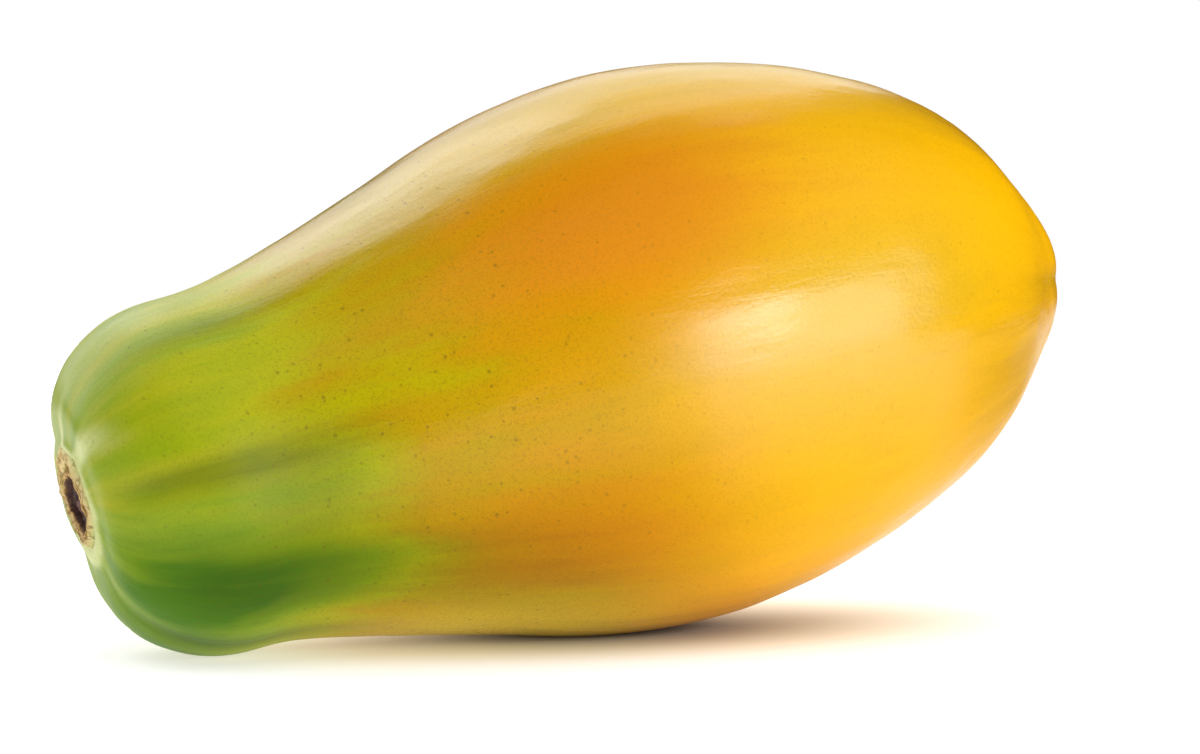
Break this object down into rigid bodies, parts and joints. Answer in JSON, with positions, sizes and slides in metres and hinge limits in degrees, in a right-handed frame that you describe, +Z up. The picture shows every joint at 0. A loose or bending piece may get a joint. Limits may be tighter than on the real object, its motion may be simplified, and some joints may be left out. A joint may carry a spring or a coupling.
{
  "type": "papaya",
  "caption": "Whole pear-shaped papaya lying on its side, with shallow lengthwise lobes, a sunken stem scar and a blunt blossom end.",
  "frame": {"origin": "under the middle of the fruit, in the plane of the two flat spots that it rests on", "axes": "+X along the fruit from its stem end to its blossom end, +Y across it, +Z up"},
  "size_m": [0.2596, 0.135, 0.1379],
  "materials": {
    "skin": "waxy semi-gloss, green at the neck ripening to yellow and amber at the belly"
  },
  "bodies": {
    "root": {"papaya": "skin"}
  },
  "joints": []
}
